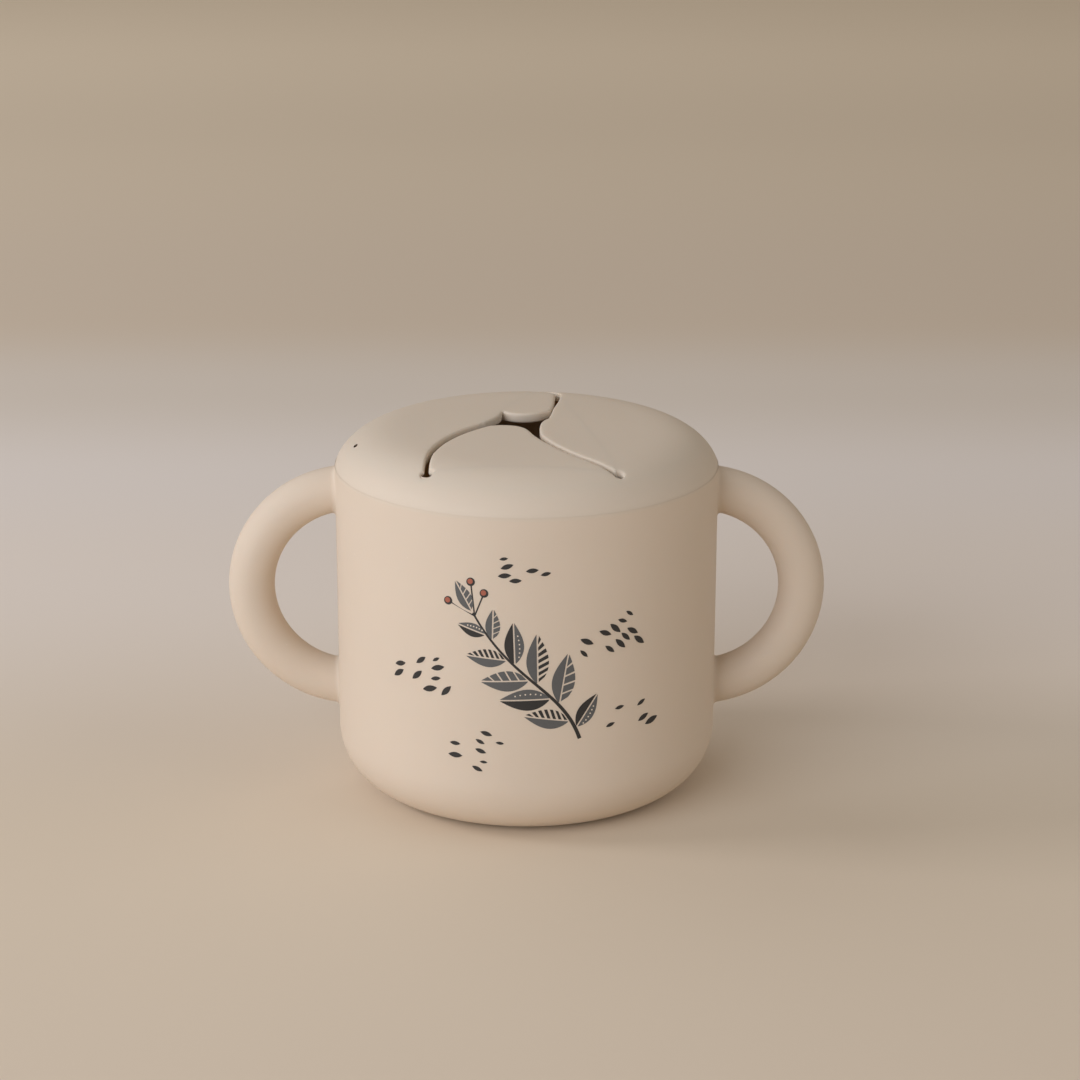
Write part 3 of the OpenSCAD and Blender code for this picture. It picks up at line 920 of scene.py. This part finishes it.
slate_ink = silicone_ink("screen_printed_silicone_ink_slate", "#5D5D5C")
charcoal_ink = silicone_ink("screen_printed_silicone_ink_charcoal", "#343230")
cream_ink = silicone_ink("screen_printed_silicone_ink_cream", "#DCCFBD")
berry_ink = silicone_ink("screen_printed_silicone_ink_berry_red", "#A5604C")


def wrapped(along, up, out):
    """A point of the flat artwork laid round the front of the cup."""
    turn = along / CUP_R
    return ((CUP_R + out) * math.sin(turn), -(CUP_R + out) * math.cos(turn), up)


def printed_shape(outline, lift=0.0):
    """Points and faces of one flat shape of ink, cut into pieces of 1.5 mm to follow the wall."""
    outline = [Vector(p) for p in counterclockwise([tuple(p) for p in outline])]
    xs, ys = [p[0] for p in outline], [p[1] for p in outline]
    inner = [Vector((x, y)) for x in np.arange(min(xs), max(xs), 1.5)
             for y in np.arange(min(ys), max(ys), 1.5)]
    flat, _, triangles, _, _, _ = delaunay_2d_cdt(outline + inner, closed(0, len(outline)), [], 0, WELD)
    flat_array = np.array([tuple(p) for p in flat])
    keep = in_polygon(flat_array[np.array(triangles)].mean(1), np.array([tuple(p) for p in outline]))
    triangles = [list(t) for t, k in zip(triangles, keep) if k]
    shape_points = [wrapped(p[0], p[1], out) for out in (INK_TOP + lift, INK_FOOT) for p in flat]
    n = len(flat)
    sides = {(a, b) for t in triangles for a, b in zip(t, t[1:] + t[:1])}
    shape_faces = [tuple(t) for t in triangles] + [tuple(i + n for i in t[::-1]) for t in triangles]
    shape_faces += [(b, a, a + n, b + n) for a, b in sides if (b, a) not in sides]
    return shape_points, shape_faces


def turned_by(points, degrees, at_point):
    """Points drawn along +X, turned and moved to their place in the artwork."""
    c, s = math.cos(math.radians(degrees)), math.sin(math.radians(degrees))
    return [(at_point[0] + c * x - s * y, at_point[1] + s * x + c * y) for x, y in points]


def leaf_side(share, width):
    """Half the width of a leaf at a share of its length."""
    return width / 2 * math.sin(math.pi * share ** 0.82) ** 0.95 if 0 < share < 1 else 0.0


def leaf_shapes(base, degrees, length, width, kind):
    """The flat shapes of one leaf, each with its ink. One half is whole. The other is whole, cut
    by veins, or striped. A bare rib of twice 0.16 mm parts them."""
    rib = 0.16

    def half(side, first, last, slant=0.0):
        part = np.linspace(first, last, max(3, int(24 * (last - first)) + 3))
        rim_part = [min(1.0, u + slant) for u in part]
        rim_side = [(u, side * max(rib, leaf_side(u, width))) for u in rim_part]
        rib_side = [(u, side * rib) for u in part]
        return turned_by([(u * length, v) for u, v in rib_side + rim_side[::-1]], degrees, base)

    if kind == "solid":
        return [(half(1, 0.02, 0.97), charcoal_ink), (half(-1, 0.02, 0.97), slate_ink)]
    # a cut half's strips: how many, how much of each is inked, and in what
    strips, inked, ink = {"veined": (5, 0.80, slate_ink), "striped": (7, 0.56, charcoal_ink)}[kind]
    made = [(half(1, 0.02, 0.97), slate_ink)]
    for k in range(strips):
        first = 0.04 + 0.86 * k / strips
        made.append((half(-1, first, first + 0.86 * inked / strips, 0.10), ink))
    return made


def bezier(p, t):
    """The point at a share of a curve with two handles, and the way it runs there."""
    a, b, c, d = (np.array(q, float) for q in p)
    at_point = (1 - t) ** 3 * a + 3 * (1 - t) ** 2 * t * b + 3 * (1 - t) * t * t * c + t ** 3 * d
    way = 3 * (1 - t) ** 2 * (b - a) + 6 * (1 - t) * t * (c - b) + 3 * t * t * (d - c)
    return at_point, way / np.hypot(*way)


# the art is a list of flat outlines, each with its ink. The stem tapers from 0.84 to 0.4 mm.
stem_left, stem_right = [], []
for share, half in zip(np.linspace(0, 1, STEM_STEPS), np.linspace(0.42, 0.2, STEM_STEPS)):
    at_point, way = bezier(STEM, share)
    side = half * np.array([-way[1], way[0]])
    stem_left.append(at_point + side)
    stem_right.append(at_point - side)
art = [(stem_left + stem_right[::-1], charcoal_ink)]
for share, lean, length, width, kind in LEAVES:
    at_point, way = bezier(STEM, share)
    heading = math.degrees(math.atan2(way[1], way[0])) + lean
    art += leaf_shapes(at_point + 0.5 * polar(1, heading), heading, length, width, kind)
    if kind == "solid":
        # a row of pale specks along the slate half
        for k in range(6):
            u = 0.22 + 0.10 * k
            speck = turned_by([(u * length, -0.5 * leaf_side(u, width) - 0.1)], heading, at_point)[0]
            art.append((circle_outline(speck, 0.17, 8), cream_ink))
for share, lean, length in BERRIES:
    at_point, way = bezier(STEM, share)
    heading = math.degrees(math.atan2(way[1], way[0])) + lean
    end = at_point + length * polar(1, heading)
    side = 0.16 * polar(1, heading + 90)
    art.append(([at_point + side, end + side, end - side, at_point - side], charcoal_ink))
    # the red lies a little up to the left on the dark round
    art.append((circle_outline(end, 0.95, 24), charcoal_ink))
    art.append((circle_outline(end + np.array([-0.12, 0.12]), 0.6, 20), berry_ink))
inks = [slate_ink, charcoal_ink, cream_ink, berry_ink]
sprig_points, sprig_faces, sprig_inks = [], [], []
for outline_points, ink in art:
    lift = SECOND_INK * (ink in (cream_ink, berry_ink))
    shape_points, shape_faces = printed_shape(outline_points, lift)
    sprig_faces += [tuple(i + len(sprig_points) for i in f) for f in shape_faces]
    sprig_points += shape_points
    sprig_inks += [inks.index(ink)] * len(shape_faces)
sprig_mesh = bpy.data.meshes.new("printed_sprig")
sprig_mesh.from_pydata([tuple(MM * c for c in p) for p in sprig_points], [], sprig_faces)
sprig_mesh.polygons.foreach_set("material_index", sprig_inks)
sprig = new_object("printed_sprig", sprig_mesh, *inks)
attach(sprig, "cup")


# ---- Loose leaves of the print ----
# Groups of small single leaves round the sprig, in the same ink: one mark repeated with a
# random turn and size, then laid round the wall.
LEAF_LENGTH = 3.0
LEAF_WIDTH = 1.15
LEAF_SIZES = (0.55, 1.25)
LEAF_TURN = 0.35
LEAF_SEED = 4
SCATTER_SEED = 11
# each group: its middle in the artwork, the heading of its leaves in degrees, and their number
LOOSE_LEAVES = [((-24, 38), 28, 9), ((19, 46.5), 152, 11), ((0, 62), 8, 6),
                ((-11, 22), 165, 8), ((24.5, 28), 20, 5)]
# spread of a group along X and Z
GROUP_SPREAD = (3.1, 1.9)


def loose_leaf_tree():
    """Lays a small pointed leaf on every point of a flat scatter, and wraps the result."""
    tree = bpy.data.node_groups.new("loose_leaves", "GeometryNodeTree")
    tree.interface.new_socket("Geometry", in_out="INPUT", socket_type="NodeSocketGeometry")
    for name, kind in (("Leaf length", "Float"), ("Leaf width", "Float"), ("Wall radius", "Float"),
                       ("Seed", "Int"), ("Ink", "Material")):
        tree.interface.new_socket(name, in_out="INPUT", socket_type="NodeSocket" + kind)
    tree.interface.new_socket("Geometry", in_out="OUTPUT", socket_type="NodeSocketGeometry")
    given = add(tree, "NodeGroupInput").outputs

    def sums(operation, a, b=0.0):
        return add(tree, "ShaderNodeMath", {0: a, 1: b}, operation=operation).outputs[0]

    def vector(x, y, z):
        return add(tree, "ShaderNodeCombineXYZ", {"X": x, "Y": y, "Z": z}).outputs[0]

    def parted_position():
        position = add(tree, "GeometryNodeInputPosition").outputs[0]
        return add(tree, "ShaderNodeSeparateXYZ", {0: position}).outputs

    # a round of 1 m radius, tapered to two points: half of its height sinks into the wall
    prism = add(tree, "GeometryNodeMeshCylinder", {
        "Vertices": 18, "Radius": 1.0, "Depth": 3 * INK_TOP * MM}, fill_type="NGON")
    spot = parted_position()
    squared = sums("MULTIPLY", spot["X"], spot["X"])
    taper = sums("SQRT", sums("MAXIMUM", sums("SUBTRACT", 1.0, squared), 0.0))
    half_length = sums("MULTIPLY", given["Leaf length"], 0.5)
    half_width = sums("MULTIPLY", given["Leaf width"], 0.5)
    pointed = vector(sums("MULTIPLY", spot["X"], half_length),
                     sums("MULTIPLY", sums("MULTIPLY", spot["Y"], taper), half_width), spot["Z"])
    leaf = add(tree, "GeometryNodeSetPosition", {"Geometry": prism.outputs["Mesh"], "Position": pointed})
    # inputs 2 and 3 of a random number are its least and its greatest
    turn = add(tree, "FunctionNodeRandomValue", {
        "Seed": given["Seed"], 2: -LEAF_TURN, 3: LEAF_TURN}, data_type="FLOAT")
    heading = add(tree, "GeometryNodeInputNamedAttribute", {"Name": "heading"}, data_type="FLOAT")
    spin = vector(0.0, 0.0, sums("ADD", heading.outputs[0], turn.outputs[1]))
    size = add(tree, "FunctionNodeRandomValue", {
        "Seed": sums("ADD", given["Seed"], 7.0), 2: LEAF_SIZES[0], 3: LEAF_SIZES[1]}, data_type="FLOAT")
    laid = add(tree, "GeometryNodeInstanceOnPoints", {
        "Points": given["Geometry"], "Instance": leaf.outputs[0], "Rotation": spin,
        "Scale": size.outputs[1]})
    real = add(tree, "GeometryNodeRealizeInstances", {"Geometry": laid.outputs[0]})
    flat = parted_position()
    angle = sums("DIVIDE", flat["X"], given["Wall radius"])
    reach = sums("ADD", flat["Z"], given["Wall radius"])
    round_wall = vector(sums("MULTIPLY", reach, sums("SINE", angle)),
                        sums("MULTIPLY", sums("MULTIPLY", reach, sums("COSINE", angle)), -1.0), flat["Y"])
    bent = add(tree, "GeometryNodeSetPosition", {"Geometry": real.outputs[0], "Position": round_wall})
    inked = add(tree, "GeometryNodeSetMaterial", {"Geometry": bent.outputs[0], "Material": given["Ink"]})
    add(tree, "NodeGroupOutput", {0: inked.outputs[0]})
    return tree


rng = np.random.default_rng(SCATTER_SEED)
spots, headings = [], []
for middle, heading, count in LOOSE_LEAVES:
    placed = []
    # two leaves keep 3.6 mm apart along their heading, and 1.7 mm across it
    along, across = polar(0.55, heading), polar(1.2, heading + 90)
    while len(placed) < count:
        spot = np.array(middle) + rng.normal(0, 1, 2) * GROUP_SPREAD
        if all(np.hypot((spot - other) @ along, (spot - other) @ across) > 2.0 for other in placed):
            placed.append(spot)
    spots += placed
    headings += [math.radians(heading)] * count
scatter = bpy.data.meshes.new("loose_leaf_spots")
scatter.from_pydata([(x * MM, y * MM, 0) for x, y in spots], [], [])
scatter.attributes.new("heading", "FLOAT", "POINT").data.foreach_set("value", headings)
holder = new_object("loose_leaf_spots", scatter)
scattered = holder.modifiers.new("loose_leaves", "NODES")
scattered.node_group = loose_leaf_tree()
values = {"Leaf length": LEAF_LENGTH * MM, "Leaf width": LEAF_WIDTH * MM,
          "Wall radius": CUP_R * MM, "Seed": LEAF_SEED, "Ink": charcoal_ink}
for item in scattered.node_group.interface.items_tree:
    if item.in_out == "INPUT" and item.name in values:
        scattered[item.identifier] = values[item.name]
result = holder.evaluated_get(bpy.context.evaluated_depsgraph_get())
leaf_mesh = bpy.data.meshes.new_from_object(result)
bpy.data.objects.remove(holder)
leaf_mesh.name = "printed_loose_leaves"
loose_leaves = new_object("printed_loose_leaves", leaf_mesh)
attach(loose_leaves, "cup")
